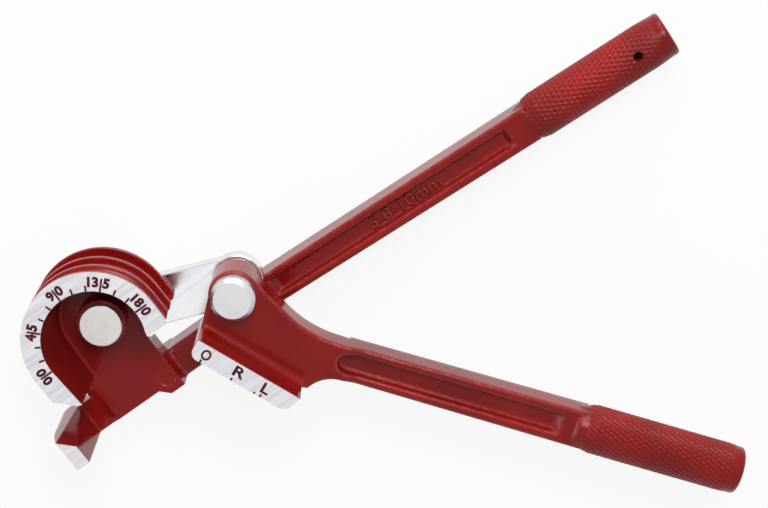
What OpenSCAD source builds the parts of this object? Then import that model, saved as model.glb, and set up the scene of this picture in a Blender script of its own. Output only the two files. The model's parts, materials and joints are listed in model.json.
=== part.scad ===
// Lever tube bender for three tube sizes: a grooved half drum on a handle, and a lever with a
// grooved shoe that a link carries round the drum. The tool lies on its back, drum face up.

/* [Tubes] */
// Outer diameter of the smallest tube, in the front groove
tube_small = 6; // [5:0.5:7]
// Outer diameter of the middle tube
tube_mid = 8; // [7:0.5:9]
// Outer diameter of the largest tube, in the back groove
tube_large = 10; // [9:0.5:11]
// Distance from the bend centre to the outer side of every bent tube
tube_reach = 27.5; // [26.5:0.1:29]
// Gap all round a tube in its groove
groove_clear = 0.1; // [0.05:0.05:0.3]

/* [Drum] */
// Distance that a bent tube stands out of the ridges between the grooves
tube_proud = 3; // [2.6:0.1:3.4]
// Thickness of the front and back flange
flange_t = 1.5; // [1.2:0.1:2.5]
// Thickness of a ridge between two grooves
ridge_t = 1.6; // [1.2:0.1:2.5]
// Width of the scale ring, from the ridges to the cup's front rim
scale_w = 6.7; // [6.2:0.1:7.4]
// Draft of the cup's wall, in degrees
cup_draft = 3; // [2:0.5:5]
// Fillet between the cup's wall and its floor
cup_fillet = 1.2; // [0.8:0.1:3]
// Thickness of the web that is the cup's floor
web_t = 2.4; // [2:0.1:3.2]
// Length of the straight leg beside the hook
leg_long = 15.6; // [13:0.2:17]
// Length of the straight leg at the end of the scale
leg_short = 9.2; // [6:0.2:10]
// Corner cut on the short leg
leg_chamfer = 1.6; // [1.6:0.1:3]
// Corner cut on the long leg
leg_bevel = 6; // [4:0.5:8]
// Slope of the long leg's end over twice its height
leg_tip = 0.9; // [0.5:0.1:1.5]
// Outward lean of the hollow's floor along the legs, in degrees
leg_lean = 2; // [1:0.5:3]
// Inward lean of the hollow's rim along the long leg, in degrees
rim_lean_long = 3.4; // [2:0.2:4]
// Inward lean of the hollow's rim along the short leg, in degrees
rim_lean_short = 12.4; // [8:0.2:14]
// Draft of the legs' inner sides at their ends, in degrees
rim_draft = 0.4; // [0.2:0.1:1]

/* [Web and hook] */
// Distance from the bend centre to the web's right edge
web_right = 7.4; // [6:0.2:9]
// Distance from the bend centre down to where the web's right edge turns outwards
web_turn = 15.4; // [13:0.2:16]
// Distance of the web's tip, under the short leg, from the cup's rim
tip_in = 1; // [0.8:0.1:2]
// Distance from the bend centre to the web's bottom edge
web_low = 33.1; // [31:0.1:34]
// Step of the web's bottom edge below the neck
web_step = 3.2; // [1:0.2:4]
// Width of the foot that the step makes
foot_w = 9; // [6:0.5:12]
// Distance from the bend centre to the top of the neck
neck_top = 17.2; // [16.5:0.1:18]
// Distance from the bend centre to the neck's rounded left end
neck_left = 16; // [12:0.5:18]
// Rounding of the neck's left corners
neck_round = 5; // [3:0.5:6]
// Depth of the neck behind the web, above the shaft
neck_depth = 7.5; // [6.2:0.1:10]
// Distance of the web's left edge, beside the gap, from the line of the ridges
gap_in = 1.6; // [1:0.1:3]
// Distance from the bend centre to the top of the hook's arm
arm_top = 20.9; // [20:0.1:22]
// Gap between the tube's outer side and the hook
hook_clear = 0.3; // [0.2:0.1:1]
// Width of the hook at its front end
hook_w = 5.1; // [4:0.1:6.5]
// Width of the hook's arm past the hook's inner face
arm_w = 12.3; // [10:0.1:13]
// Rounding of the arm's outer corner
arm_round = 5.5; // [3:0.5:9]
// Length of the slanted face at the hook's inner top
hook_slant = 5.1; // [3:0.1:6.5]
// Draft of the hook's slanted face, in degrees
hook_draft = 6; // [3:0.5:8]
// Diameter of the ejector mark on the web
mark_d = 6; // [4:0.5:8]
// Depth of the ejector mark
mark_depth = 0.3; // [0.2:0.1:0.6]
// Distance of the ejector mark from the web's right edge
mark_x = 3.7; // [3.5:0.1:6]
// Distance of the ejector mark above the web's bottom edge
mark_y = 2.3; // [1:0.1:4]

/* [Handle of the drum] */
// Distance from the bend centre down to the neck end of the shaft
shaft_root_y = 30.3; // [29:0.1:31]
// Width of the shaft at the neck
shaft_root_w = 11.4; // [10:0.2:13]
// Fillet between the neck's side and the shaft's front
root_fillet = 2.4; // [1.5:0.1:3]
// Distance from the bend centre to where the shaft's upper edge starts to bend
root_top_x = 23; // [18:1:30]
// Distance from the bend centre to where the shaft's lower edge starts to bend
root_low_x = 15; // [12:1:22]
// Distance from the bend centre to where the shaft runs straight
shaft_bend_x = 46; // [40:1:52]
// Drop of the straight shaft's start below the bend centre
shaft_bend_y = 27.95; // [27:0.05:29]
// Slope of the straight shaft, in degrees below the scale's base line
shaft_slope = 2.6; // [0:0.1:4]
// Length of the straight shaft up to its grip
shaft_len = 109.6; // [90:0.2:130]
// Width of the straight shaft at its start
shaft_w0 = 11.4; // [10:0.1:13]
// Width of the straight shaft at its grip
shaft_w1 = 12.6; // [11:0.1:14]
// Depth of the shaft from back to front
shaft_depth = 12.4; // [11:0.1:13]
// Diameter of the drum handle's grip
grip_d = 16.2; // [15:0.1:18]
// Length of the drum handle's grip
grip_len = 59; // [50:0.2:70]
// Distance of the hanging hole from the grip's end
hang_inset = 13; // [9:0.5:16]
// Diameter of the hanging hole
hang_d = 3.4; // [2.6:0.1:5]

/* [Lever] */
// Distance between the two pins
link_len = 47.6; // [46.5:0.1:49]
// Angle of the link at rest, below the scale's base line, in degrees
link_rest = 21.5; // [10:0.5:28]
// Angle of the shoe's line at rest, below the scale's base line, in degrees
shoe_rest = 67.7; // [60:0.1:75]
// Gap between the ridges of the drum and those of the shoe when it lies square
mouth_gap = 1.2; // [1.1:0.1:2]
// Length of the shoe past the foot of the lever pin
shoe_len = 36.4; // [32:0.2:40]
// Overhang of the shoe on the other side of the lever pin
shoe_over = 3.4; // [2:0.2:5]
// Thickness of the shoe behind its mouth
shoe_t = 6.6; // [6:0.1:8]
// Length of the bevel at the shoe's far end
shoe_bevel = 2.7; // [2:0.1:4]
// Height of the bevel at the shoe's far end
shoe_bevel_h = 1.3; // [1:0.1:2.5]
// Slant of the shoe's far end
shoe_slant = 1.8; // [1:0.1:3]
// Rounding of the shoe's near corner
shoe_round = 3; // [2:0.2:3.4]
// Fillet between the shoe's back wall and the lever's head
shoe_fillet = 2; // [1:0.5:3]
// Depth of the lever's head from back to front
head_depth = 16.5; // [15:0.5:19]
// Depth of the plate that joins the boss, the shoe and the shaft
plate_depth = 10.8; // [9:0.2:12]
// Radius of the boss round the lever pin
lever_boss_r = 8.6; // [8.2:0.1:9.4]
// Turn of the lever's shaft from the line of the shoe, in degrees
lever_turn = 14.8; // [10:0.2:20]
// Place of the shaft's start along the shoe
lever_root_x = 45.1; // [43:0.2:50]
// Place of the shaft's start across the shoe, below the lever pin
lever_root_y = 1.1; // [0:0.1:4]
// Length of the lever's shaft up to its grip
lever_shaft_len = 83.6; // [70:0.2:100]
// Width of the lever's shaft at the head
lever_w0 = 12.2; // [11:0.1:13]
// Width of the lever's shaft at its grip
lever_w1 = 13.3; // [11:0.1:14]
// Depth of the lever's shaft
lever_depth = 10.7; // [9.5:0.1:11.5]
// Reach of the front recess of the lever's shaft into its head
recess_lead = 3; // [1:0.5:5]
// Diameter of the lever's grip
lever_grip_d = 16.8; // [16:0.1:19]
// Length of the lever's grip
lever_grip_len = 60.6; // [50:0.2:70]
// Lift of the lever's shaft from the middle of its head
lever_lift = 1.4; // [0.8:0.1:2]
// Radius of the hollow on the lever's outer side
crook_r = 40; // [30:1:50]
// Distance of that hollow's end before the shaft's start
crook_back = 4; // [2:0.5:8]
// Radius of the hollow between shoe and shaft
throat_r = 12; // [10:0.2:13]
// Distance of that hollow past the shoe's end
throat_x = 1.8; // [1:0.1:3]

/* [Shafts and grips] */
// Depth of the long recess on each side of a shaft
recess_depth = 2.6; // [1:0.1:3.5]
// Rim left beside a recess
recess_rim = 2.3; // [1.5:0.1:3]
// Lean of a recess's side walls over their height
recess_draft = 0.9; // [0.2:0.1:1.5]
// Distance of a recess from each end of its shaft
recess_inset = 5; // [3:0.5:12]
// Length of the cone from shaft to grip
grip_cone = 7; // [4:0.5:10]
// Step from a shaft's side up to that cone
grip_step = 0.3; // [0.1:0.1:1]
// Rounding of a grip's end
grip_round = 1.2; // [0.8:0.2:4]

/* [Link and pins] */
// Thickness of the link
link_t = 5.4; // [4:0.2:6]
// Radius of the link's ends
link_r = 9.2; // [8.6:0.1:9.6]
// Half width of the link between its ends
link_half = 8.6; // [7:0.1:8.6]
// Gap between the link and the shaft behind it
link_gap = 0.5; // [0.3:0.1:1]
// Diameter of both pins
pin_d = 9; // [7:0.1:10]
// Running clearance of a pin in its bore, on the radius
pin_clear = 0.05; // [0.02:0.01:0.08]
// Clearance of a peened tail in the link, on the radius
peen_clear = 0.02; // [0.01:0.01:0.05]
// Widening of a peened tail in its countersink
peen_flare = 1.6; // [1:0.1:2]
// Gap under a pin's head
end_play = 0.1; // [0.05:0.05:0.2]
// Thickness of the washers between link and castings
washer_t = 0.6; // [0.4:0.1:1]
// Diameter of the washers
washer_d = 15; // [13:0.5:16]
// Clearance of a washer round its pin, on the radius
washer_clear = 0.1; // [0.05:0.05:0.3]
// Height of the boss round the drum pin
drum_boss_h = 8.5; // [6:0.1:10]
// Radius of the boss round the drum pin
drum_boss_r = 8.4; // [7.8:0.1:10]
// Diameter of the drum pin's head
drum_head_d = 14.9; // [13:0.1:16]
// Height of the drum pin's head
drum_head_h = 2.4; // [1.6:0.1:3]
// Chamfer of the drum pin's head
drum_head_chamfer = 0.3; // [0.2:0.1:1]
// Diameter of the lever pin's head
lever_head_d = 15.5; // [13:0.1:16]
// Height of the lever pin's head
lever_head_h = 6.2; // [5:0.1:7]
// Chamfer of the lever pin's head
lever_head_chamfer = 1.3; // [0.5:0.1:1.5]

/* [Hidden] */
$fn = 96;
// Short overlap for cuts that break through a face
cut = 1;
// Overlap that joins two solids
bond = 0.1;
// Thickness left at a fillet's thin end
lip = 0.2;
// Longer than the whole tool
far = 300;

// Levels from the bench up
axis_z = grip_d / 2;
shaft_z0 = axis_z - shaft_depth / 2;
shaft_z1 = axis_z + shaft_depth / 2;
link_z0 = shaft_z1 + link_gap;
link_z1 = link_z0 + link_t;
back_z = link_z1 + washer_t;
tubes = [tube_large, tube_mid, tube_small];
function groove_r(i) = tubes[i] / 2 + groove_clear;
function groove_z(i) = back_z + flange_t + groove_r(i)
    + (i > 0 ? 2 * groove_r(0) + ridge_t : 0) + (i > 1 ? 2 * groove_r(1) + ridge_t : 0);
function path_r(i) = tube_reach - tubes[i] / 2;
front_z = groove_z(2) + groove_r(2) + flange_t;
web_z = back_z + web_t;
drum_boss_z = web_z + drum_boss_h;
head_z = back_z + head_depth;
lever_z = back_z + head_depth / 2 + lever_lift;

// Plan of the drum and hook
ridge_r = tube_reach - tube_proud;
cup_r = ridge_r - scale_w;
gap_x = ridge_r - gap_in;
web_tip = cup_r - tip_in;
cup_floor_r = cup_r - (front_z - web_z) * tan(cup_draft);
hook_x = tube_reach + hook_clear;
arm_x = hook_x + arm_w;
arm_z = link_z0;
step_x = web_right - foot_w;
foot_low = web_low + web_step;
shaft_top = shaft_root_y - shaft_root_w / 2;

// Grip ends and the middle of the whole outline, where the origin lies
shaft_dir = -shaft_slope;
grip_end = shaft_len + grip_len;
lever_pin = link_len * [cos(link_rest), -sin(link_rest)];
mouth_y = link_len - ridge_r - mouth_gap;
wall_y = shoe_t - mouth_y;
lever_dir = lever_turn - shoe_rest;
lever_end = lever_shaft_len + lever_grip_len;
lever_root = lever_pin + turned([lever_root_x, -lever_root_y], -shoe_rest);
reach_x = shaft_bend_x + (grip_end - grip_round) * cos(shaft_dir)
    + (grip_d / 2 - grip_round) * abs(sin(shaft_dir)) + grip_round;
reach_y = lever_root[1] + (lever_end - grip_round) * sin(lever_dir)
    - (lever_grip_d / 2 - grip_round) * abs(cos(lever_dir)) - grip_round;
middle = [(reach_x - arm_x) / 2, (ridge_r + reach_y) / 2, 0];

red = [0.52, 0.06, 0.05];
steel = [0.8, 0.8, 0.82];

// A point turned by an angle about the origin
function turned(p, a) = [p[0] * cos(a) - p[1] * sin(a), p[0] * sin(a) + p[1] * cos(a)];

// Points on an arc round a centre, from one angle to another
function arc(c, r, a0, a1, n) = [for (i = [0 : n]) let (a = a0 + (a1 - a0) * i / n)
    c + r * [cos(a), sin(a)]];

// Profile of the hollow cup: floor, fillet and drafted wall, out to the given radii
function cup_profile(floor_r, rim_r) = concat([[0, web_z]],
    arc([floor_r - cup_fillet, web_z + cup_fillet], cup_fillet, 270, 360 - cup_draft, 5),
    [[rim_r + cut * tan(cup_draft), front_z + cut], [0, front_z + cut]]);

// The half plane of the drum's round part
module round_half() {
    translate([-far, 0, -cut]) cube([2 * far, far, front_z + 2 * cut]);
}

// Ring-shaped cut of one groove, round the scale half
module bent_groove(i) {
    intersection() {
        union() {
            rotate_extrude() translate([path_r(i), groove_z(i)]) circle(groove_r(i));
            rotate_extrude() translate([path_r(i), groove_z(i) - groove_r(i)])
                square([ridge_r, 2 * groove_r(i)]);
        }
        round_half();
    }
}

// Straight cut of one groove down a leg, on the side given as -1 or 1
module straight_groove(i, side, len) {
    translate([side * path_r(i), 0, groove_z(i)]) rotate([90, 0, 0]) cylinder(r = groove_r(i), h = len);
    translate([side > 0 ? path_r(i) : -tube_reach - groove_clear, -len, groove_z(i) - groove_r(i)])
        cube([tube_reach + groove_clear - path_r(i), len, 2 * groove_r(i)]);
}

// Hollow between the two legs on the side given as -1 or 1: its floor spreads and its rim closes in
module leg_hollow(side) {
    translate([side * cup_r, 0, 0]) mirror([side > 0 ? 0 : 1, 0, 0]) intersection() {
        rotate([0, 0, leg_lean]) translate([-cup_r, cut, 0]) rotate([90, 0, 0])
            linear_extrude(leg_long * 2) polygon(cup_profile(cup_floor_r, cup_r));
        translate([0, 0, front_z]) rotate([0, 0, side > 0 ? -rim_lean_short : -rim_lean_long])
            rotate([0, rim_draft, 0]) translate([-far, -far, -far]) cube([far, 2 * far, 2 * far]);
    }
}

// Half drum with its two legs, hollowed and grooved
module drum() {
    leg_in = cup_r / 2;
    difference() {
        union() {
            intersection() {
                translate([0, 0, back_z]) cylinder(r = ridge_r, h = front_z - back_z);
                round_half();
            }
            translate([0, 0, back_z]) linear_extrude(front_z - back_z) {
                polygon([[-ridge_r, cut], [-ridge_r, leg_bevel + leg_tip - leg_long],
                    [leg_bevel - ridge_r, leg_tip - leg_long], [2 * leg_tip - cup_r, -leg_long],
                    [-leg_in, -leg_long], [-leg_in, cut]]);
                polygon([[ridge_r, cut], [leg_in, cut], [leg_in, -leg_short],
                    [ridge_r - leg_chamfer, -leg_short], [ridge_r, leg_chamfer - leg_short]]);
            }
        }
        rotate_extrude() polygon(cup_profile(cup_floor_r, cup_r));
        for (side = [-1, 1]) leg_hollow(side);
        for (i = [0 : 2]) {
            bent_groove(i);
            for (side = [-1, 1]) straight_groove(i, side, leg_long + cut);
        }
    }
}

// Flat web that closes the cup's back and carries the hook's arm
module web() {
    floor_r = cup_floor_r - cup_fillet / 2;
    difference() {
        translate([0, 0, back_z]) linear_extrude(web_t) polygon(concat(
            arc([0, 0], floor_r, 0, 180, 24),
            [[-floor_r, -leg_long], [-gap_x, -leg_long + cut], [-gap_x, -web_low], [step_x, -web_low],
            [step_x + web_step, -foot_low], [web_right, -foot_low], [web_right, -web_turn],
            [web_tip, -leg_short], [floor_r, bond - leg_short]]));
        translate([web_right - mark_x, mark_y - web_low, web_z - mark_depth])
            cylinder(d = mark_d, h = mark_depth + cut);
    }
}

// Arm and hook that hold the free end of the tube
module hook() {
    tip_x = hook_x + hook_w;
    intersection() {
        translate([0, 0, arm_z]) linear_extrude(front_z - arm_z) polygon(concat(
            [[-gap_x + 2 * cut, -arm_top]],
            arc([arm_round - arm_x, -arm_top - arm_round], arm_round, 90, 180, 8),
            [[-arm_x, -web_low], [-gap_x + 2 * cut, -web_low]]));
        rotate([90, 0, 0]) linear_extrude(far) polygon([[0, 0], [0, web_z], [-hook_x, web_z],
            [-hook_x, front_z], [-tip_x, front_z], [-arm_x, web_z], [-arm_x, 0]]);
        hook_slant_keep();
    }
}

// Everything on the outer side of the hook's slanted inner face, and all of the arm
module hook_slant_keep() {
    difference() {
        translate([-far, -far, 0]) cube([2 * far, far, front_z + cut]);
        intersection() {
            translate([-hook_x, -arm_top - hook_slant, front_z]) rotate([0, 0, 45])
                rotate([0, -hook_draft, 0]) translate([0, -far / 2, -far / 2]) cube([far, far, far]);
            translate([-far, -far, web_z]) cube([2 * far, 2 * far, far]);
        }
    }
}

// Neck behind the web, deep where it carries the shaft's end
module neck() {
    translate([0, 0, back_z - neck_depth]) linear_extrude(neck_depth + cut) polygon(concat(
        [[web_right, -neck_top]],
        arc([neck_round - neck_left, -neck_top - neck_round], neck_round, 90, 180, 6),
        [[-neck_left, -shaft_top - cut], [web_right, -shaft_top - cut]]));
    linear_extrude(back_z + cut) polygon(concat([[web_right, -shaft_top], [-neck_left, -shaft_top]],
        arc([neck_round - neck_left, neck_round - web_low], neck_round, 180, 270, 6),
        [[step_x, -web_low], [step_x + web_step, -foot_low], [web_right, -foot_low]]));
}

// Long pocket with slanted ends and sides, cut down from the level z = 0 along +X
module pocket(len, w, depth) {
    low = w / 2 - recess_draft;
    intersection() {
        translate([0, w / 2, 0]) rotate([90, 0, 0]) linear_extrude(w)
            polygon([[0, cut], [0, 0], [depth, -depth], [len - depth, -depth], [len, 0], [len, cut]]);
        rotate([90, 0, 90]) linear_extrude(len)
            polygon([[-w / 2, cut], [-w / 2, 0], [-low, -depth], [low, -depth], [w / 2, 0], [w / 2, cut]]);
    }
}

// Shaft along +X from the points of its root, with a pocket on its front, given as 0, or its back, as 1
module shaft(len, w0, w1, depth, root, faces) {
    end = len + grip_cone / 2;
    difference() {
        translate([0, 0, -depth / 2]) linear_extrude(depth) polygon(concat([[end, w1 / 2],
            [recess_inset, w0 / 2]], root, [[recess_inset, -w0 / 2], [end, -w1 / 2]]));
        for (face = faces) mirror([0, 0, face]) translate([recess_inset, 0, depth / 2])
            pocket(len - 2 * recess_inset, w0 - 2 * recess_rim, recess_depth);
    }
}

// Round grip along +X, with a cone at its start and a rounded end
module grip(start, len, d, w) {
    translate([start, 0, 0]) rotate([0, 90, 0]) rotate_extrude() polygon(concat(
        [[0, 0], [w / 2 + grip_step, 0], [d / 2, grip_cone]],
        arc([d / 2 - grip_round, len - grip_round], grip_round, 0, 90, 6), [[0, len]]));
}

// The casting's head: drum, web, hook and neck
module former_drum() {
    color(red) translate(-middle) difference() {
        union() {
            drum();
            difference() {
                union() {
                    web();
                    hook();
                    neck();
                }
                for (i = [0 : 2]) straight_groove(i, -1, far);
            }
            translate([0, 0, back_z]) cylinder(r = drum_boss_r, h = drum_boss_z - back_z);
        }
        translate([0, 0, back_z - cut])
            cylinder(d = pin_d + 2 * pin_clear, h = drum_boss_z - back_z + 2 * cut);
    }
}

// Fillet that leads from the neck's side down to the shaft's front
module neck_fillet() {
    translate([web_right, -shaft_top - bond, shaft_z1]) rotate([90, 0, 0])
        linear_extrude(shaft_root_w - 2 * bond) polygon(concat([[0, -bond], [0, root_fillet]],
            arc([root_fillet + lip, root_fillet], root_fillet, 180, 270, 6),
            [[root_fillet + lip, -bond]]));
}

// The same casting's shaft, from the neck's side over its bend to the grip
module former_handle() {
    bend = [shaft_bend_x, -shaft_bend_y];
    low = shaft_top + shaft_root_w;
    root = [[root_top_x, -shaft_top], [web_right, -shaft_top], [web_right, -low], [root_low_x, -low]];
    color(red) translate(-middle) {
        neck_fillet();
        translate([bend[0], bend[1], axis_z]) rotate([0, 0, shaft_dir]) difference() {
            union() {
                shaft(shaft_len, shaft_w0, shaft_w1, shaft_depth,
                    [for (p = root) turned(p - bend, -shaft_dir)], [0, 1]);
                grip(shaft_len, grip_len, grip_d, shaft_w1);
            }
            translate([grip_end - hang_inset, 0, -grip_d / 2 - cut])
                cylinder(d = hang_d, h = grip_d + 2 * cut);
        }
    }
}

// Plan of the lever's head along the shoe's line: boss, outer hollow, shaft end and throat
function head_plan() = let (
    along = [cos(lever_turn), sin(lever_turn)],
    side = [-sin(lever_turn), cos(lever_turn)],
    root = [lever_root_x, -lever_root_y],
    crook = root - crook_back * along + (lever_w0 / 2 + crook_r) * side,
    lean = atan2(crook[1], crook[0]) + acos((lever_boss_r + crook_r) / norm(crook)),
    low = root - lever_w0 / 2 * side,
    throat_u = shoe_len + throat_x + throat_r,
    throat_v = low[1] + (throat_u - low[0]) * tan(lever_turn) - throat_r / cos(lever_turn))
    concat([[-lever_boss_r, 0], [-shoe_over, wall_y - cut], [shoe_len, wall_y - cut]],
        arc([throat_u, throat_v], throat_r, 180 - asin((wall_y - throat_v) / throat_r),
            90 + lever_turn, 10),
        [low + cut * along + lip * side, low + cut * along + (lever_w0 - lip) * side],
        arc(crook, crook_r, 270 + lever_turn, 180 + lean, 12),
        [lever_boss_r * [cos(lean), sin(lean)], [0, 0]]);

// Shoe with its three grooves, along +X, mouth towards -Y
module shoe() {
    mouth = -mouth_y;
    difference() {
        translate([0, 0, back_z]) linear_extrude(front_z - back_z) polygon(concat(
            [[-shoe_over, wall_y]],
            arc([shoe_round - shoe_over, mouth + shoe_round], shoe_round, 180, 270, 6),
            [[shoe_len - shoe_slant - shoe_bevel, mouth], [shoe_len - shoe_slant, mouth + shoe_bevel_h],
            [shoe_len, wall_y]]));
        for (i = [0 : 2]) translate([-shoe_over - cut, path_r(i) - link_len, groove_z(i)])
            rotate([0, 90, 0]) cylinder(r = groove_r(i), h = shoe_len + shoe_over + 2 * cut);
    }
}

// Fillet between the shoe's back wall and the lever's head
module wall_fillet() {
    size = shoe_fillet + bond;
    len = shoe_len + shoe_over - 2 * bond;
    translate([bond - shoe_over, wall_y - bond, head_z - bond]) difference() {
        cube([len, size, size]);
        translate([-cut, size, size]) rotate([0, 90, 0]) cylinder(r = shoe_fillet, h = len + 2 * cut);
    }
}

// Wedge that leads from the head's front down to the lever's shaft, along +X
module lever_taper() {
    front = head_z - lever_z - bond / 2;
    translate([0, lever_w0 / 2, 0]) rotate([90, 0, 0]) linear_extrude(lever_w0) polygon([
        [0, 0], [0, front], [cut, front], [recess_inset, lever_depth / 2], [recess_inset, 0]]);
}

// Recess with drafted sides, a round start and a slanted end, cut down from the level z = 0 along +X
module led_recess(len, w, depth, over) {
    low = w / 2 - recess_draft;
    intersection() {
        translate([0, w / 2, 0]) rotate([90, 0, 0]) linear_extrude(w) polygon([[w / 2, over],
            [w / 2, -depth], [len - depth, -depth], [len, 0], [len, over]]);
        rotate([90, 0, 90]) linear_extrude(len) polygon([[-w / 2, over], [-w / 2, 0], [-low, -depth],
            [low, -depth], [w / 2, 0], [w / 2, over]]);
    }
    translate([w / 2, 0, 0]) rotate_extrude() polygon([[0, -depth], [low - lip, -depth],
        [w / 2 - lip, 0], [w / 2 - lip, over], [0, over]]);
}

module lever_handle() {
    color(red) translate(-middle) translate(lever_pin) rotate([0, 0, -shoe_rest]) difference() {
        union() {
            translate([0, 0, back_z]) cylinder(r = lever_boss_r, h = head_depth);
            translate([0, 0, head_z - plate_depth]) linear_extrude(plate_depth) polygon(head_plan());
            shoe();
            wall_fillet();
            translate([lever_root_x, -lever_root_y, lever_z]) rotate([0, 0, lever_turn]) {
                shaft(lever_shaft_len, lever_w0, lever_w1, lever_depth,
                    [[0, lever_w0 / 2], [0, -lever_w0 / 2]], [1]);
                grip(lever_shaft_len, lever_grip_len, lever_grip_d, lever_w1);
                lever_taper();
            }
        }
        translate([0, 0, back_z - cut]) cylinder(d = pin_d + 2 * pin_clear, h = head_depth + 2 * cut);
        translate([lever_root_x, -lever_root_y, lever_z + lever_depth / 2]) rotate([0, 0, lever_turn])
            translate([-recess_lead, 0, 0]) led_recess(lever_shaft_len + recess_lead - recess_inset,
                lever_w0 - 2 * recess_rim, recess_depth, head_z - lever_z);
    }
}

// Flared hole that takes a peened tail
module peened_hole(clear) {
    translate([0, 0, link_z0 - cut]) cylinder(r = pin_d / 2 + clear, h = link_t + 2 * cut);
    translate([0, 0, link_z0])
        cylinder(r1 = pin_d / 2 + peen_flare + clear, r2 = pin_d / 2 + clear, h = peen_flare);
    translate([0, 0, link_z0 - cut]) cylinder(r = pin_d / 2 + peen_flare + clear, h = cut);
}

module link_plate() {
    color(steel) translate(-middle) difference() {
        rotate([0, 0, -link_rest]) translate([0, 0, link_z0]) {
            cylinder(r = link_r, h = link_t);
            translate([0, -link_half, 0]) cube([link_len, 2 * link_half, link_t]);
            translate([link_len, 0, 0]) cylinder(r = link_r, h = link_t);
        }
        peened_hole(peen_clear);
        translate(lever_pin) peened_hole(peen_clear);
    }
}

// Headed pin whose flared tail lies flush in the link
module pin(seat_z, head_d, head_h, chamfer) {
    under = seat_z + end_play;
    translate([0, 0, link_z0]) cylinder(d = pin_d, h = under - link_z0 + cut);
    translate([0, 0, link_z0]) cylinder(r1 = pin_d / 2 + peen_flare, r2 = pin_d / 2, h = peen_flare);
    translate([0, 0, under]) {
        cylinder(d = head_d, h = head_h - chamfer);
        translate([0, 0, head_h - chamfer]) cylinder(d1 = head_d, d2 = head_d - 2 * chamfer, h = chamfer);
    }
}

module former_pin() {
    color(steel) translate(-middle) pin(drum_boss_z, drum_head_d, drum_head_h, drum_head_chamfer);
}

module lever_pin_piece() {
    color(steel) translate(-middle) translate(lever_pin)
        pin(head_z, lever_head_d, lever_head_h, lever_head_chamfer);
}

// Flat washer between the link and a casting
module washer() {
    difference() {
        translate([0, 0, link_z1]) cylinder(d = washer_d, h = washer_t);
        translate([0, 0, link_z1 - cut]) cylinder(r = pin_d / 2 + washer_clear, h = washer_t + 2 * cut);
    }
}

module former_washer() {
    color(steel) translate(-middle) washer();
}

module lever_washer() {
    color(steel) translate(-middle) translate(lever_pin) washer();
}

former_drum();
former_handle();
lever_handle();
link_plate();
former_pin();
lever_pin_piece();  // lever_pin
former_washer();
lever_washer();
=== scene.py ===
# %% [markdown]
# # A lever tube bender, dressed
#
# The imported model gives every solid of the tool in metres, lying on its back with the scale
# up. This lesson adds what solids can't show: cast paint over ground metal, plating, the
# knurl of the two grips, and the marks that a fitter reads. Loading comes first, because
# each later piece takes its place from the loaded solids.

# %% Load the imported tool
import json
import math

import bpy
import numpy as np
from mathutils import Matrix, Vector


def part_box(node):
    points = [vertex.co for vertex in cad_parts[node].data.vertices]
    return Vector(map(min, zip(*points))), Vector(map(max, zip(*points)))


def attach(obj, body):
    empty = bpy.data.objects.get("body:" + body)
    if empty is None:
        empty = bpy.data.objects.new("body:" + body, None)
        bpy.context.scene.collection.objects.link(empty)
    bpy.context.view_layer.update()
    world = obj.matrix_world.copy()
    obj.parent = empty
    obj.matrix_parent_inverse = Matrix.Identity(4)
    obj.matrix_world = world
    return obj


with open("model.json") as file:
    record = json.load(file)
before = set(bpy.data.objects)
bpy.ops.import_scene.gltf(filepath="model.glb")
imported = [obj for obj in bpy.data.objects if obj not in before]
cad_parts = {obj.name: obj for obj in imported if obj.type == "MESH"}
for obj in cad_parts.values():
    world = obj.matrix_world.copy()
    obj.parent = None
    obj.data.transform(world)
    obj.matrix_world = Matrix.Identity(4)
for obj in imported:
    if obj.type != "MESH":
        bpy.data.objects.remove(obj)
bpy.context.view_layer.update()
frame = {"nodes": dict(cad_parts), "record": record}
print("solids:", ", ".join(sorted(frame["nodes"])))

# %% [markdown]
# Drawings of such a tool are made round the bend centre, the middle of the drum's pin. The
# lever has its own corner, the lever pin, and its own direction, the line of the shoe. Two
# small functions turn drawing millimetres into metres in the shared frame, so that every
# number below can be compared with a ruler on the real thing.

# %% Drawing places to frame places
MM = 0.001
SHOE_ANGLE = math.radians(-67.7)


def middle_of(node):
    """The centre of a solid's box, as an array."""
    low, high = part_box(node)
    return (np.array(low) + np.array(high)) / 2


bend_centre = middle_of("former_pin")
lever_pivot = middle_of("lever_pin")
front_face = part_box("former_drum")[1][2]
hole = next(m for m in frame["record"]["mounts"] if m["name"] == "hang_hole")
hole_radius = hole["dims"]["r_mm"] * MM


def turn_flat(points, angle):
    """Turns points about the vertical: x' = x cos - y sin and y' = x sin + y cos."""
    c, s = math.cos(angle), math.sin(angle)
    return points @ np.array([[c, s, 0], [-s, c, 0], [0, 0, 1]])


def from_bend_centre(points):
    """Millimetres from the bend centre, with z from the bench, to metres in the frame."""
    shift = np.array([bend_centre[0], bend_centre[1], 0])
    return np.asarray(points, float) * MM + shift


def from_lever_pin(points):
    """Millimetres along and across the shoe, from the lever pin, to metres in the frame."""
    shift = np.array([lever_pivot[0], lever_pivot[1], 0])
    return turn_flat(np.asarray(points, float) * MM, SHOE_ANGLE) + shift


print("bend centre", np.round(bend_centre, 4), "lever pin", np.round(lever_pivot, 4))

# %% [markdown]
# The photograph looks almost straight down on the lying tool, leaning a little from the far
# side, and is turned so that the scale tips to the left. A long lens keeps the two handles
# nearly in proportion. The camera is set by its place and by those two angles, which says
# more to a reader than nine matrix numbers.

# %% Camera
CAMERA_PLACE = (206.515, 118.782, 702.964)
CAMERA_TURN = math.radians(36)
CAMERA_LEAN = math.radians(16)
CAMERA_LENS = 96.1
FILM_WIDTH = 36

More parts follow.
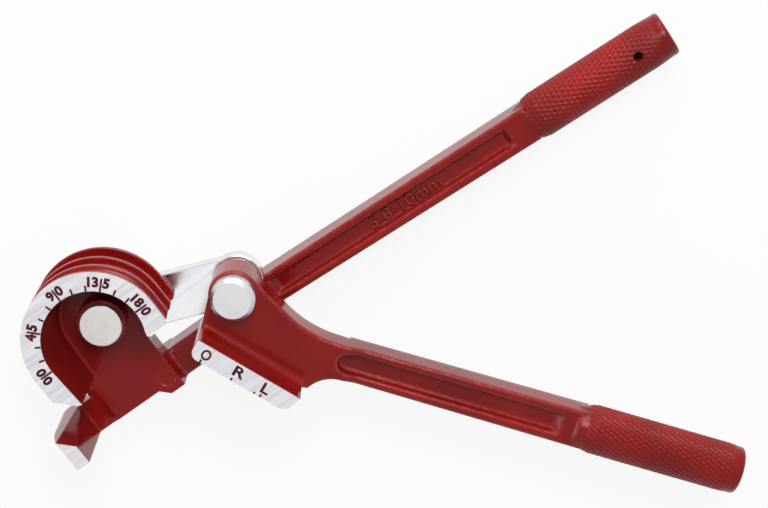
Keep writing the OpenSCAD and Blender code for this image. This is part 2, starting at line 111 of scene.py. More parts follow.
camera_data = bpy.data.cameras.new("photo_camera")
camera_data.sensor_fit = "HORIZONTAL"
camera_data.sensor_width = FILM_WIDTH
camera_data.lens = CAMERA_LENS
camera = bpy.data.objects.new("photo_camera", camera_data)
bpy.context.scene.collection.objects.link(camera)
lean = Matrix.Rotation(-CAMERA_LEAN, 4, "X")
turn = Matrix.Rotation(-CAMERA_TURN, 4, "Z")
camera.matrix_world = Matrix.Translation(from_bend_centre(CAMERA_PLACE)) @ turn @ lean
bpy.context.scene.camera = camera
bpy.context.scene.view_settings.view_transform = "Standard"
view_line = camera.matrix_world.to_3x3() @ Vector((0, 0, -1))
print("camera looks along", np.round(view_line, 3))

# %% [markdown]
# The tool lies on a white ground that casts light back. The floor shows white to the camera,
# and to mirror-like metal, through Light Path; a share of it stays a plain pale surface, and
# that share carries the shadow. All trees of nodes in this lesson are made with one small
# helper, which adds a node and fills in or links its inputs.

# %% White floor
FLOOR_HALF = 3.0
FLOOR_GAP = 0.0002
FLOOR_GLOW = 0.88
FLOOR_CORNERS = ((-1, -1), (1, -1), (1, 1), (-1, 1))
PAPER_GREY = (0.86, 0.86, 0.86, 1)
WHITE = (1, 1, 1, 1)


def add(tree, kind, inputs=None, **settings):
    """Adds a node; an input is a number, a colour or another node's output."""
    node = tree.nodes.new(kind)
    for name, value in settings.items():
        setattr(node, name, value)
    for name, value in (inputs or {}).items():
        if isinstance(value, bpy.types.NodeSocket):
            tree.links.new(value, node.inputs[name])
        else:
            node.inputs[name].default_value = value
    return node


def empty_material(name):
    """A material with no nodes but its output."""
    material = bpy.data.materials.new(name)
    material.use_nodes = True
    material.node_tree.nodes.clear()
    return material, add(material.node_tree, "ShaderNodeOutputMaterial")


def calc(tree, operation, first, second):
    """One sum of two values."""
    return add(tree, "ShaderNodeMath", {0: first, 1: second}, operation=operation).outputs[0]


def show_white(tree):
    """1 for rays from the camera, a mirror or glass, and 0 for the light that paints."""
    path = add(tree, "ShaderNodeLightPath").outputs
    mirror = calc(tree, "MAXIMUM", path["Is Camera Ray"], path["Is Glossy Ray"])
    return calc(tree, "MAXIMUM", mirror, path["Is Transmission Ray"])


floor_mesh = bpy.data.meshes.new("floor")
floor_mesh.from_pydata([(x * FLOOR_HALF, y * FLOOR_HALF, -FLOOR_GAP) for x, y in FLOOR_CORNERS],
                       [], [(0, 1, 2, 3)])
floor = bpy.data.objects.new("floor", floor_mesh)
bpy.context.scene.collection.objects.link(floor)
paper, paper_out = empty_material("floor_paper")
tree = paper.node_tree
plain = add(tree, "ShaderNodeBsdfDiffuse", {"Color": PAPER_GREY})
glow = add(tree, "ShaderNodeEmission", {"Color": WHITE, "Strength": 1.0})
share = calc(tree, "MULTIPLY", show_white(tree), FLOOR_GLOW)
mixed = add(tree, "ShaderNodeMixShader", {0: share, 1: plain.outputs[0], 2: glow.outputs[0]})
tree.links.new(mixed.outputs[0], paper_out.inputs["Surface"])
floor_mesh.materials.append(paper)
print("stage:", floor.name, "with", paper.name)

# %% [markdown]
# Soft light comes from a pale sky and three wide lamps. The strongest hangs above, on the
# camera's side, so the faces towards the camera keep an even deep red. The other two stand
# low, one on the far side and one to the left, and light the flanks there. Those flanks also
# mirror the white ground at a glancing angle, which turns their red to pink.

# %% Sky and lamps
SKY_LEVEL = 0.34
# Each lamp has its place and what it faces, both in metres, its width and its watts
LAMPS = {
    "far_softbox": ((0.55, 0.80, 0.30), (0, 0, 0.02), 0.7, 5),
    "left_softbox": ((-0.85, 0.45, 0.28), (-0.05, 0, 0.02), 0.5, 2.2),
    "top_softbox": ((0.44, 0.46, 0.98), (0, 0, 0), 0.5, 7.4),
}

world = bpy.data.worlds.new("studio")
bpy.context.scene.world = world
world.use_nodes = True
tree = world.node_tree
tree.nodes.clear()
sky_out = add(tree, "ShaderNodeOutputWorld")
level = add(tree, "ShaderNodeMapRange", {"Value": show_white(tree), 3: SKY_LEVEL, 4: 1.0})
sky = add(tree, "ShaderNodeBackground", {"Color": WHITE, "Strength": level.outputs[0]})
tree.links.new(sky.outputs[0], sky_out.inputs["Surface"])


def soft_lamp(name, place, aim, size, watts):
    """A square area lamp at a place, facing another place."""
    data = bpy.data.lights.new(name, "AREA")
    data.size = size
    data.energy = watts
    lamp = bpy.data.objects.new(name, data)
    bpy.context.scene.collection.objects.link(lamp)
    facing = (Vector(aim) - Vector(place)).to_track_quat("-Z", "Y").to_matrix().to_4x4()
    lamp.matrix_world = Matrix.Translation(place) @ facing
    return lamp


lamps = [soft_lamp(name, *setting) for name, setting in LAMPS.items()]
print("light:", world.name, *(lamp.name for lamp in lamps))

# %% [markdown]
# Finishes are built from a few steps: noise fields, values mapped from one range to another,
# and colours mixed by a share. Two steps need a word. The Bevel node rounds the edges for the
# light only, and it also finds the edges, because its normal leaves the true normal only
# beside one. Distance from an upright line gives the rings on a pin and the inside of a hole.

# %% Steps that the finishes share
BEVEL_SAMPLES = 8
EDGE_ALIKE = (0.99, 0.80)


def noise(tree, place, scale, detail, stretch=None, turn=0.0):
    """A noise field; a stretch per axis, after a turn about z, draws it out into streaks."""
    if stretch:
        place = add(tree, "ShaderNodeMapping", {"Vector": place, "Rotation": (0, 0, turn),
                                                "Scale": stretch}).outputs[0]
    field = add(tree, "ShaderNodeTexNoise", {"Vector": place, "Scale": scale, "Detail": detail})
    return field.outputs["Fac"]


def spread(tree, value, low, high, new_low=0.0, new_high=1.0):
    """Maps a value from one range to another, and keeps it inside."""
    return add(tree, "ShaderNodeMapRange", {"Value": value, 1: low, 2: high, 3: new_low,
                                            4: new_high}).outputs[0]


def blend_colour(tree, share, first, second):
    """The first colour where share is 0, and the second where it is 1."""
    mix = add(tree, "ShaderNodeMix", data_type="RGBA")
    for socket, value in ((0, share), (6, first), (7, second)):
        if isinstance(value, bpy.types.NodeSocket):
            tree.links.new(value, mix.inputs[socket])
        else:
            mix.inputs[socket].default_value = value
    return mix.outputs[2]


def edge_share(tree, radius):
    """The normal of rounded edges, and a share that rises from 0 to 1 towards an edge."""
    rounded = add(tree, "ShaderNodeBevel", {"Radius": radius}, samples=BEVEL_SAMPLES).outputs[0]
    true = add(tree, "ShaderNodeNewGeometry").outputs["Normal"]
    alike = add(tree, "ShaderNodeVectorMath", {0: rounded, 1: true}, operation="DOT_PRODUCT")
    return rounded, spread(tree, alike.outputs["Value"], *EDGE_ALIKE)


def away_from(tree, place, centre):
    """Distance of a point from the vertical line through a centre."""
    offset = add(tree, "ShaderNodeVectorMath", {0: place, 1: tuple(centre)},
                 operation="SUBTRACT").outputs[0]
    flat = add(tree, "ShaderNodeVectorMath", {0: offset, 1: (1, 1, 0)},
               operation="MULTIPLY").outputs[0]
    return add(tree, "ShaderNodeVectorMath", {0: flat}, operation="LENGTH").outputs["Value"]


steps = (noise, spread, blend_colour, edge_share, away_from)
print("steps:", ", ".join(step.__name__ for step in steps))

# %% [markdown]
# Both handles are pressure die castings in aluminium, sprayed red and then ground on the
# front faces, which leaves bare metal there. One material tells both stories: height in the
# frame decides whether a point is ground metal or paint. Sprayed paint has a fine orange
# peel and drifts a little in tone. Sharp edges are painted paler: partly paint worn thin, and
# partly a painted highlight. Ground metal has fine streaks, all in one direction.

# %% Red paint over cast aluminium
GROUND_DEPTH = 0.05 * MM
HOLE_REACH = hole_radius + 0.15 * MM
DEEP_RED = (0.178, 0.0047, 0.0042, 1)
FRESH_RED = (0.270, 0.0080, 0.0062, 1)
RIDGE_HIGHLIGHT_RED = (0.370, 0.0105, 0.0085, 1)
EDGE_WEAR_HIGHLIGHT_RED = (0.520, 0.0800, 0.0680, 1)
GROOVE_SHADE_RED = (0.125, 0.0034, 0.0031, 1)
BARE_CORE = (0.240, 0.0060, 0.0060, 1)
PAINT_SHINE = (0.55, 0.38, 0.40, 1)
GROUND_METAL = (0.690, 0.680, 0.710, 1)
DULL_METAL = (0.570, 0.560, 0.590, 1)
DRIFT_SCALE = 38
GLOSS_SCALE = 120
LUMP_SCALE, LUMP_HEIGHT = 170, 0.6
PEEL_SCALE, PEEL_HEIGHT = 850, 0.25
CHIP_SCALE = 420
CHIP_RANGE = (0.45, 0.62)
WORN_HIGHLIGHT_SHARE = (0.30, 0.70)
GROOVE_SHADE_RANGE = (0.05, 0.65)
GRIND_SCALE, GRIND_HEIGHT = 420, 0.35
GRIND_STRETCH = (0.10, 2.6, 1)
GRIND_ANGLE = math.radians(62)
GRIND_ROUGH = (0.34, 0.50)
SKIN_STRENGTH = 0.22
SKIN_DEPTH = 0.0003


def red_casting(name, edge_radius, rough_low, rough_high, knurled=False):
    """Glossy red paint, with ground metal on the faces at the tool's front level.

    On a knurl the red is lighter, a painted highlight on the ridges, and painted shade
    darkens it where the mesh says, in its relief value, that a groove is.
    """
    material, out = empty_material(name)
    tree = material.node_tree
    place = add(tree, "ShaderNodeTexCoord").outputs["Object"]
    rounded, edge = edge_share(tree, edge_radius)
    height = add(tree, "ShaderNodeSeparateXYZ", {0: place}).outputs["Z"]
    ground = calc(tree, "GREATER_THAN", height, front_face - GROUND_DEPTH)

    drift = spread(tree, noise(tree, place, DRIFT_SCALE, 3), 0.3, 0.7)
    # On a knurl the lighter red is a painted highlight on its ridges.
    paint = blend_colour(tree, drift, DEEP_RED, RIDGE_HIGHLIGHT_RED if knurled else FRESH_RED)
    chips = spread(tree, noise(tree, place, CHIP_SCALE, 3), *CHIP_RANGE)
    # Pale edges: partly paint worn thin, partly a painted highlight along them.
    worn_and_highlight = calc(tree, "MULTIPLY", edge, spread(tree, chips, 0, 1, *WORN_HIGHLIGHT_SHARE))
    paint = blend_colour(tree, worn_and_highlight, paint, EDGE_WEAR_HIGHLIGHT_RED)
    # Painted shade darkens a knurl's grooves, following the mesh's relief value.
    if knurled:
        relief = add(tree, "ShaderNodeAttribute", attribute_name="relief").outputs["Fac"]
        paint = blend_colour(tree, spread(tree, relief, *GROOVE_SHADE_RANGE), GROOVE_SHADE_RED, paint)
    in_hole = calc(tree, "LESS_THAN", away_from(tree, place, hole["pos_m"]), HOLE_REACH)
    paint = blend_colour(tree, in_hole, paint, BARE_CORE)
    streaks = noise(tree, place, GRIND_SCALE, 5, GRIND_STRETCH, GRIND_ANGLE)
    metal = blend_colour(tree, spread(tree, streaks, 0.25, 0.60), DULL_METAL, GROUND_METAL)

    peel = calc(tree, "MULTIPLY", noise(tree, place, PEEL_SCALE, 2), PEEL_HEIGHT)
    lumps = calc(tree, "MULTIPLY", noise(tree, place, LUMP_SCALE, 2), LUMP_HEIGHT)
    skin = calc(tree, "ADD", lumps, peel)
    painted_skin = calc(tree, "MULTIPLY", skin, calc(tree, "SUBTRACT", 1.0, ground))
    grind = calc(tree, "MULTIPLY", calc(tree, "MULTIPLY", streaks, GRIND_HEIGHT), ground)
    flat = add(tree, "ShaderNodeNewGeometry").outputs["Normal"]
    facing = add(tree, "ShaderNodeMix", {0: ground, 4: rounded, 5: flat}, data_type="VECTOR")
    bump = add(tree, "ShaderNodeBump", {
        "Strength": SKIN_STRENGTH, "Distance": SKIN_DEPTH,
        "Height": calc(tree, "ADD", painted_skin, grind), "Normal": facing.outputs[1]})

    gloss = spread(tree, noise(tree, place, GLOSS_SCALE, 3), 0.3, 0.7, rough_low, rough_high)
    matt = spread(tree, streaks, 0.3, 0.7, *GRIND_ROUGH)
    rough = add(tree, "ShaderNodeMix", {0: ground, 2: gloss, 3: matt}).outputs[0]
    shader = add(tree, "ShaderNodeBsdfPrincipled", {
        "Base Color": blend_colour(tree, ground, paint, metal), "Metallic": ground,
        "Roughness": calc(tree, "MAXIMUM", rough, in_hole), "Specular IOR Level": 0.5,
        "Specular Tint": PAINT_SHINE, "Normal": bump.outputs[0]})
    tree.links.new(shader.outputs[0], out.inputs["Surface"])
    return material


cast_red = red_casting("cast_red", 0.9 * MM, 0.12, 0.22)
handle_red = red_casting("handle_red", 2.6 * MM, 0.12, 0.22)
knurl_red = red_casting("knurl_red", 0.3 * MM, 0.28, 0.40, knurled=True)
for red in (cast_red, handle_red, knurl_red):
    print("paint:", red.name, len(red.node_tree.nodes), "nodes")

# %% [markdown]
# The link is bright plated steel and the pins are satin steel, turned on a lathe. Plating
# shows long faint scratches and a slight cloudiness; a turned head shows rings round its own
# middle. Both come from noise: drawn out along the link for scratches, and read by distance
# from the pin's middle for rings.

# %% Plated link and turned pins
PLATING = (0.86, 0.86, 0.89, 1)
PLATING_SHADE = (0.70, 0.70, 0.74, 1)
SATIN = (0.70, 0.69, 0.71, 1)
SATIN_STAIN = (0.58, 0.56, 0.56, 1)
OILY_STAIN = (0.60, 0.55, 0.47, 1)
EDGE_DARK_SHADE = (0.20, 0.17, 0.19, 1)
EDGE_SHADE_SHARE = 0.75
CLOUD_SCALE = 70
MARK_DEPTH = 0.0001
LINK_ANGLE = math.radians(21.5)
SCRATCH_SCALE = 300
SCRATCH_STRETCH = (0.06, 1.6, 1)
RING_SCALE = 2600
SPECK_SCALE, SPECK_SHARE = 330, 0.45


def metal_finish(name, bright, shade, marks, rough_low, rough_high, edge_radius, strength):
    """Bare metal whose tone, gloss and relief follow a field of marks."""
    material, out = empty_material(name)
    tree = material.node_tree
    place = add(tree, "ShaderNodeTexCoord").outputs["Object"]
    rounded, edge = edge_share(tree, edge_radius)
    field = marks(tree, place)
    cloud = spread(tree, noise(tree, place, CLOUD_SCALE, 3), 0.35, 0.7)
    tone = calc(tree, "MULTIPLY", cloud, spread(tree, field, 0.35, 0.65))
    bump = add(tree, "ShaderNodeBump", {"Strength": strength, "Distance": MARK_DEPTH,
                                        "Height": field, "Normal": rounded})
    # A painted dark line along the edges stands in for shade and dark reflections there.
    edge_shade = calc(tree, "MULTIPLY", edge, EDGE_SHADE_SHARE)
    colour = blend_colour(tree, edge_shade, blend_colour(tree, tone, bright, shade), EDGE_DARK_SHADE)
    shader = add(tree, "ShaderNodeBsdfPrincipled", {
        "Base Color": colour, "Metallic": 1.0,
        "Roughness": spread(tree, field, 0.3, 0.7, rough_low, rough_high),
        "Normal": bump.outputs[0]})
    tree.links.new(shader.outputs[0], out.inputs["Surface"])
    return material


def link_scratches(tree, place):
    """Noise drawn out along the link."""
    return noise(tree, place, SCRATCH_SCALE, 4, SCRATCH_STRETCH, LINK_ANGLE)


def lathe_rings(centre):
    """Rings by distance from a pin's middle, broken up by a little plain noise."""
    def rings(tree, place):
        along = add(tree, "ShaderNodeCombineXYZ", {0: away_from(tree, place, centre)}).outputs[0]
        fine = noise(tree, along, RING_SCALE, 3)
        specks = noise(tree, place, SPECK_SCALE, 4)
        return add(tree, "ShaderNodeMix", {0: SPECK_SHARE, 2: fine, 3: specks}).outputs[0]
    return rings


plated = metal_finish("plated_link", PLATING, PLATING_SHADE, link_scratches, 0.12, 0.24,
                      0.8 * MM, 0.05)
drum_steel = metal_finish("drum_pin_steel", SATIN, OILY_STAIN, lathe_rings(bend_centre),
                          0.30, 0.45, 0.4 * MM, 0.10)
lever_steel = metal_finish("lever_pin_steel", SATIN, SATIN_STAIN, lathe_rings(lever_pivot),
                           0.24, 0.40, 0.4 * MM, 0.08)

finishes = {"former_drum": cast_red, "former_handle": handle_red, "lever_handle": handle_red,
            "link_plate": plated, "former_pin": drum_steel, "former_washer": drum_steel,
            "lever_pin": lever_steel, "lever_washer": lever_steel}
for node_name, finish in finishes.items():
    slots = frame["nodes"][node_name].data.materials
    slots.clear()
    slots.append(finish)
print("finished", len(finishes), "solids")

# %% [markdown]
# Both grips are knurled, each in its own way. On the lever two sets of slanting grooves cross
# and leave rows of small diamonds, with one set shallower than the other. On the drum's handle
# it is the other way about: two sets of slanting ridges cross, and between them lie small pits.
# A bump map would flatten out at the rim, so the knurl is real: a sleeve round the grip whose
# height is the lower, or the higher, of two triangle waves. The sleeve is a closed ring with
# its inner wall inside the casting, and it sinks at both ends.

# %% Surface of a knurl
KNURL_ROUND = 1.75
KNURL_ALONG = 3.55
KNURL_HEIGHT = 0.28
KNURL_SINK = 0.06
KNURL_FLAT = 0.78
KNURL_RISE = 0.6
SLEEVE_WALL = 1.0
STEPS_A_DIAMOND = 8
STEPS_ALONG_SHARE = 1.5
GRIP_CONE = 7.0


def triangle_wave(q):
    """0 at whole numbers and 1 half way between them, with straight slopes."""
    return 1 - np.abs(2 * (q - np.floor(q)) - 1)


def smooth_rise(x, width):
    """0 at x = 0 and 1 from x = width on, with no corner at either end."""
    t = np.clip(x / width, 0, 1)
    return t * t * (3 - 2 * t)


def ring_faces(rows, columns):
    """Quads of a grid that closes on itself both ways."""
    r, c = np.meshgrid(np.arange(rows), np.arange(columns), indexing="ij")
    r2, c2 = (r + 1) % rows, (c + 1) % columns
    return np.stack([r * columns + c, r2 * columns + c, r2 * columns + c2, r * columns + c2],
                    -1).reshape(-1, 4)


def knurled_sleeve(start, length, diameter, end_width, shares, fade, pitted):
    """Height = lower of wave(s + t) and wave(s - t), with s diamonds round and t along.

    A pitted knurl takes the higher of the two waves, so the lines stand up and the diamonds
    sink. Each wave counts by its share, so one set of grooves can be shallower. The peaks are
    cut flat, and both ends sink below the surface, the far one over the length of the fade.
    Under the knurl the radius follows the grip: a cone, and then a plain round. The relief is
    1 on peaks and smooth ends, and 0 in the deepest grooves.
    """
    around = round(math.pi * diameter / KNURL_ROUND)
    columns = around * STEPS_A_DIAMOND
    rows = round(length / KNURL_ALONG * STEPS_A_DIAMOND * STEPS_ALONG_SHARE)
    x = np.linspace(0, length, rows)[:, None]
    s = (np.arange(columns) / STEPS_A_DIAMOND)[None, :]
    t = x / KNURL_ALONG
    first = 1 - shares[0] * (1 - triangle_wave(s + t))
    second = 1 - shares[1] * (1 - triangle_wave(s - t))
    both = np.maximum(first, second) if pitted else np.minimum(first, second)
    diamond = np.minimum(both, KNURL_FLAT) / KNURL_FLAT
    ends = smooth_rise(x, KNURL_RISE) * smooth_rise(length - x, fade)
    cone = np.clip((start + x) / GRIP_CONE, 0, 1)
    under = end_width / 2 + (diameter - end_width) / 2 * cone
    outer = under - KNURL_SINK + (KNURL_HEIGHT + KNURL_SINK) * diamond * ends
    inner = np.concatenate([under[-1:], under[:1]]) - SLEEVE_WALL + 0 * s
    reach = np.concatenate([outer, inner])
    along = np.concatenate([x, [[length], [0]]]) + start + 0 * reach
    angle = 2 * math.pi * s / around + 0 * reach
    points = np.stack([along, reach * np.cos(angle), reach * np.sin(angle)], -1)
    relief = np.concatenate([1 - (1 - diamond) * ends, 0 * inner])
    return points.reshape(-1, 3), ring_faces(rows + 2, columns), relief.ravel()


print("one wave:", triangle_wave(np.linspace(0, 1, 5)))

# %% [markdown]
# Each sleeve is worked out along its own axis and then laid along its shaft. A grip is given by
# its start along the shaft, its length, its width and the width of its cone's small end. The
# lever's knurl fades out over a few millimetres before its rounded end, and that of the drum's
# handle over a longer stretch. Where a sleeve would reach below the bench it is flattened.

# %% Sleeves on both grips
GRIP_ROUND = 1.2
KNURL_START = 3.4
FORMER_BEND = (46.0, -27.95, 8.1)
FORMER_SLOPE = math.radians(-2.6)
FORMER_GRIP = (109.6, 59.0, 16.2, 13.2)
LEVER_ROOT = (45.1, -1.1, 30.45)
LEVER_TURN = math.radians(14.8)
LEVER_GRIP = (83.6, 60.6, 16.8, 13.9)
# The shares of the two waves, the length of the fade, and whether the diamonds are pits
FORMER_KNURL = ((1.0, 1.0), 9.0, True)
LEVER_KNURL = ((0.55, 1.0), 5.0, False)


def new_piece(name, points, faces, finish, body):
    """A mesh object from frame points and faces, riding on a body, with its finish."""
    mesh = bpy.data.meshes.new(name)
    mesh.from_pydata(np.asarray(points).tolist(), [], list(map(list, faces)))
    mesh.materials.append(finish)
    piece = bpy.data.objects.new(name, mesh)
    bpy.context.scene.collection.objects.link(piece)
    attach(piece, body)
    return piece


def grip_sleeve(name, body, grip, knurl, slope, root, to_frame):
    """A sleeve from half way up a grip's cone to its rounded end, laid along its shaft."""
    start, length, diameter, end_width = grip
    points, faces, relief = knurled_sleeve(KNURL_START, length - KNURL_START - GRIP_ROUND,
                                           diameter, end_width, *knurl)
    points = to_frame(turn_flat(points + [start, 0, 0], slope) + np.array(root))
    points[:, 2] = np.maximum(points[:, 2], 0)
    sleeve = new_piece(name, points, faces, knurl_red, body)
    layer = sleeve.data.attributes.new("relief", "FLOAT", "POINT")
    layer.data.foreach_set("value", relief)
    return sleeve


former_knurl = grip_sleeve("former_knurl", "former", FORMER_GRIP, FORMER_KNURL, FORMER_SLOPE,
                           FORMER_BEND, from_bend_centre)
lever_knurl = grip_sleeve("lever_knurl", "lever", LEVER_GRIP, LEVER_KNURL, LEVER_TURN,
                          LEVER_ROOT, from_lever_pin)
print("knurl faces:", len(former_knurl.data.polygons), len(lever_knurl.data.polygons))

# %% [markdown]
# The hanging hole goes through the knurl too. Leaving grid faces out would give a ragged rim,
# so a round cutter is taken from the sleeve with a Boolean, and the result is kept as a plain
# mesh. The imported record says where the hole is.

# %% Hanging hole through the sleeve
CUTTER_SIDES = 48
CUTTER_HALF = 0.012
CUTTER_SLACK = 0.00005


def cutter_grid(centre, radius, half):
    """A closed cylinder: two rings at centre plus and minus half, and two end faces."""
    i = np.arange(CUTTER_SIDES)
    angle = 2 * math.pi * i / CUTTER_SIDES
    ring = np.stack([radius * np.cos(angle), radius * np.sin(angle), 0 * angle], -1) + centre
    points = np.concatenate([ring - [0, 0, half], ring + [0, 0, half]])
    j = (i + 1) % CUTTER_SIDES
    sides = np.stack([i, j, j + CUTTER_SIDES, i + CUTTER_SIDES], -1).tolist()
    return points, sides + [i[::-1].tolist(), (i + CUTTER_SIDES).tolist()]


def bore(piece, centre, radius, half):
    """Cuts a vertical round hole through a piece and keeps the cut mesh."""
    points, faces = cutter_grid(centre, radius, half)
    mesh = bpy.data.meshes.new("cutter")
    mesh.from_pydata(points.tolist(), [], faces)
    cutter = bpy.data.objects.new("cutter", mesh)
    bpy.context.scene.collection.objects.link(cutter)
    cut = piece.modifiers.new("hole", "BOOLEAN")
    cut.operation = "DIFFERENCE"
    cut.solver = "EXACT"
    cut.object = cutter
    graph = bpy.context.evaluated_depsgraph_get()
    bored = bpy.data.meshes.new_from_object(piece.evaluated_get(graph))
    piece.modifiers.clear()
    piece.data = bored
    bpy.data.objects.remove(cutter)


bore(former_knurl, np.array(hole["pos_m"]), hole_radius + CUTTER_SLACK, CUTTER_HALF)
print("bored knurl faces:", len(former_knurl.data.polygons))

# %% [markdown]
# The marks on the front faces are filled with dark paint. It is a little uneven, as paint
# wiped into shallow marks is. All marks stand three hundredths of a millimetre proud, which
# reads as paint and doesn't flicker.

# %% Dark paint for the marks
MARK_THICK = 0.03
FRONT_MM = front_face / MM
INK_DARK = (0.045, 0.004, 0.010, 1)
INK_THIN = (0.095, 0.012, 0.022, 1)
INK_SCALE = 900


def ink(name):
    """Dark brown paint, a little uneven, lighter where it is thin."""
    material, out = empty_material(name)
    tree = material.node_tree
    place = add(tree, "ShaderNodeTexCoord").outputs["Object"]
    thin = spread(tree, noise(tree, place, INK_SCALE, 3), 0.35, 0.75)
    bump = add(tree, "ShaderNodeBump", {"Strength": 0.2, "Distance": MARK_DEPTH, "Height": thin})
    shader = add(tree, "ShaderNodeBsdfPrincipled", {
        "Base Color": blend_colour(tree, thin, INK_DARK, INK_THIN),
        "Roughness": spread(tree, thin, 0, 1, 0.40, 0.60), "Specular IOR Level": 0.15,
        "Normal": bump.outputs[0]})
    tree.links.new(shader.outputs[0], out.inputs["Surface"])
    return material


mark_paint = ink("mark_paint")
print("material:", mark_paint.name)

# %% [markdown]
# The scale has a short tick each 15 degrees and a long one each 45. Ticks are thin plates that
# point away from the bend centre and begin at the cup's rim. All of them are worked out as one
# array: eight corners of a unit plate, times each tick's size, turned and moved to its place.

# %% Ticks of the scale
CUP_RIM = 17.8
TICK_W = 0.7
TICK_GAP = 0.05
LONG_TICK, SHORT_TICK = 4.6, 2.0


def boxes(centres, lengths, width, turns, base, thick):
    """Flat bars as one mesh: each has its own length and turn, and all share the rest."""
    corner = np.array([[x, y, z] for z in (0, 1) for y in (-0.5, 0.5) for x in (-0.5, 0.5)])
    size = np.stack([lengths, np.full(len(lengths), width), np.full(len(lengths), thick)], -1)
    local = corner[None] * size[:, None]
    c, s = np.cos(turns)[:, None], np.sin(turns)[:, None]
    x = local[..., 0] * c - local[..., 1] * s + centres[:, 0, None]
    y = local[..., 0] * s + local[..., 1] * c + centres[:, 1, None]
    points = np.stack([x, y, local[..., 2] + base], -1).reshape(-1, 3)
    quads = np.array([[0, 2, 3, 1], [4, 5, 7, 6], [0, 1, 5, 4], [2, 6, 7, 3], [0, 4, 6, 2],
                      [1, 3, 7, 5]])
    return points, (quads[None] + 8 * np.arange(len(lengths))[:, None, None]).reshape(-1, 4)


angles = np.arange(0, 181, 15)
long_ones = angles % 45 == 0
tick_len = np.where(long_ones, LONG_TICK, SHORT_TICK)
turns = np.radians(180 - angles)
middle_r = CUP_RIM + TICK_GAP + tick_len / 2
centres = np.stack([middle_r * np.cos(turns), middle_r * np.sin(turns)], -1)
points, faces = boxes(centres, tick_len, TICK_W, turns, FRONT_MM, MARK_THICK)
scale_ticks = new_piece("scale_ticks", from_bend_centre(points), faces, mark_paint, "former")
print(scale_ticks.name, len(angles), "of which long:", int(long_ones.sum()))

# %% [markdown]
# Each long tick splits its angle in two: the last figure stands after it and the rest before
# it. Figures come from Blender's own letter shapes, turned into meshes so that they can be
# laid round the ring with their tops outwards.

# %% Figures of the scale
FIGURE_H = 3.7
FIGURE_R = 21.0
FIGURE_BOLD = 0.055
FIGURE_ASIDE = {1: 1.75, 2: 2.75}
LETTER_STEPS = 6
HALVES = {0: ("0", "0"), 45: ("4", "5"), 90: ("9", "0"), 135: ("13", "5"), 180: ("18", "0")}


def letter_mesh(text, height, thick, bold, rim=0.0):
    """Points and faces, in millimetres, of text centred on the origin, standing on z = 0.

    A rim widens every stroke, and the height stays that of the text without its rim.
    """
    curve = bpy.data.curves.new("letters", "FONT")
    curve.body = text
    curve.size = 1.0
    curve.extrude = 0.5
    curve.offset = bold + rim
    curve.resolution_u = LETTER_STEPS
    holder = bpy.data.objects.new("letters", curve)
    bpy.context.scene.collection.objects.link(holder)
    graph = bpy.context.evaluated_depsgraph_get()
    mesh = bpy.data.meshes.new_from_object(holder.evaluated_get(graph))
    bpy.data.objects.remove(holder)
    raw = np.empty(3 * len(mesh.vertices))
    mesh.vertices.foreach_get("co", raw)
    raw = raw.reshape(-1, 3)
    faces = [list(p.vertices) for p in mesh.polygons]
    low, high = raw.min(0), raw.max(0)
    scale = height / (high[1] - low[1] - 2 * rim)
    centred = raw - (low + high) / 2
    return centred * [scale, scale, thick] + [0, 0, thick / 2], faces


def join(parts):
    """Several (points, faces) pairs as one."""
    points, faces, count = [], [], 0
    for part_points, part_faces in parts:
        points.append(part_points)
        faces += [[i + count for i in face] for face in part_faces]
        count += len(part_points)
    return np.concatenate(points), faces


def round_the_scale(text, angle, side):
    """Figures with their tops outwards, before (side -1) or after (side 1) their angle."""
    points, faces = letter_mesh(text, FIGURE_H, MARK_THICK, FIGURE_BOLD)
    out = math.radians(180 - angle) - side * FIGURE_ASIDE[len(text)] / FIGURE_R
    points = turn_flat(points + [0, FIGURE_R, 0], out - math.pi / 2)
    return points + [0, 0, FRONT_MM], faces


figures = []
for angle, (before, after) in HALVES.items():
    figures.append(round_the_scale(before, angle, -1))
    figures.append(round_the_scale(after, angle, 1))
points, faces = join(figures)
scale_figures = new_piece("scale_figures", from_bend_centre(points), faces, mark_paint, "former")
print(scale_figures.name, len(figures), "faces:", len(faces))

# %% [markdown]
# The shoe carries three marks: the zero that meets the scale, and the lines for a bend
# measured to the right or to the left. Each has a tick at the mouth's edge, and the last has a
# second, shorter one. Letters stand square to the shoe, so they are made in the shoe's own
# directions and turned with it.

# %% Marks on the shoe
SHOE_MOUTH = -21.9
SHOE_LETTER_H = 3.9
SHOE_BOLD = 0.03
# Each letter has its place along and across the shoe, and how far it is drawn out
SHOE_LETTERS = (("O", 1.5, -18.5, 0.85), ("R", 14.2, -18.0, 1.3), ("L", 24.7, -18.3, 1.2))
TICK_ALONG = np.array([0.9, 13.0, 22.0, 24.3])
TICK_LENGTH = np.array([1.2, 1.1, 0.7, 1.1])

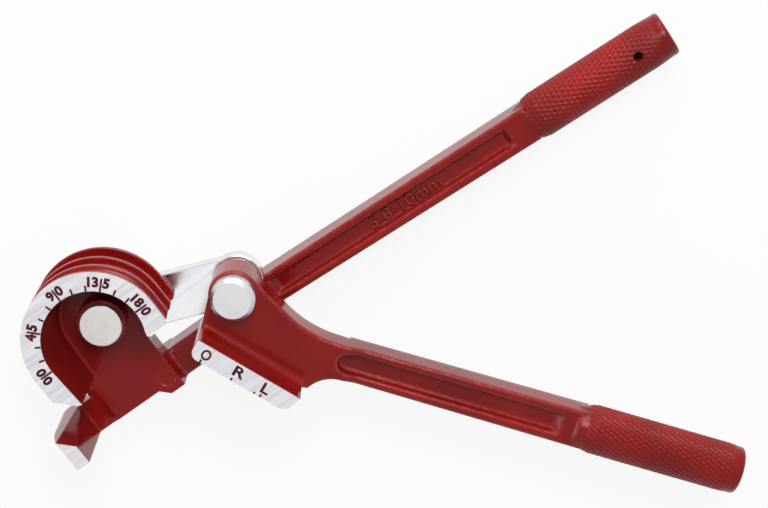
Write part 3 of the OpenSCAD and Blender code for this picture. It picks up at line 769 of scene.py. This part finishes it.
shoe_parts = []
for text, along, across, wide in SHOE_LETTERS:
    points, faces = letter_mesh(text, SHOE_LETTER_H, MARK_THICK, SHOE_BOLD)
    shoe_parts.append((points * [wide, 1, 1] + [along, across, FRONT_MM], faces))
centres = np.stack([TICK_ALONG, SHOE_MOUTH + TICK_LENGTH / 2], -1)
upright = np.full(len(TICK_ALONG), math.pi / 2)
shoe_parts.append(boxes(centres, TICK_LENGTH, TICK_W, upright, FRONT_MM, MARK_THICK))
points, faces = join(shoe_parts)
shoe_marks = new_piece("shoe_marks", from_lever_pin(points), faces, mark_paint, "lever")
print(shoe_marks.name, len(SHOE_LETTERS), "and ticks:", len(TICK_ALONG))

# %% [markdown]
# The tube sizes are cast into the long recess of the drum's handle as raised figures under
# the same paint. They are thicker letter meshes whose feet sink into the recess floor. A second
# set of the same letters, wider and much lower, lies under the first and gives them a dark
# outline of painted shade round their feet. It has no relief, and so takes the knurl's painted
# groove shade.

# %% Raised size figures in the recess
RECESS_FLOOR = 11.7
SIZE_TEXT = "6-8-10mm"
SIZE_H = 4.4
SIZE_LONG = 29.5
SIZE_RAISE = 0.5
SIZE_FOOT = 0.1
SIZE_BOLD = 0.01
SIZE_PLACE = (60.8, 0.1, 0)
SHADE_OUTLINE_RAISE = 0.12
SHADE_OUTLINE_RIM = 0.05


def in_recess(points, stretch):
    """Letters drawn out lengthwise and laid along the shaft, with their feet in its floor."""
    floor_place = [FORMER_BEND[0], FORMER_BEND[1], RECESS_FLOOR - SIZE_FOOT]
    along_shaft = turn_flat(points * [stretch, 1, 1] + SIZE_PLACE, FORMER_SLOPE)
    return from_bend_centre(along_shaft + floor_place)


points, faces = letter_mesh(SIZE_TEXT, SIZE_H, SIZE_RAISE + SIZE_FOOT, SIZE_BOLD)
stretch = SIZE_LONG / np.ptp(points[:, 0])
size_figures = new_piece("size_figures", in_recess(points, stretch), faces, cast_red, "former")
# The wider, lower letters under the figures are a painted shade outline round their feet.
points, faces = letter_mesh(SIZE_TEXT, SIZE_H, SHADE_OUTLINE_RAISE + SIZE_FOOT, SIZE_BOLD, SHADE_OUTLINE_RIM)
size_shade_outline = new_piece("size_shade_outline", in_recess(points, stretch), faces, knurl_red, "former")
size_shade_outline.data.attributes.new("relief", "FLOAT", "POINT")
for piece in (size_figures, size_shade_outline):
    print(piece.name, len(piece.data.polygons), "faces")
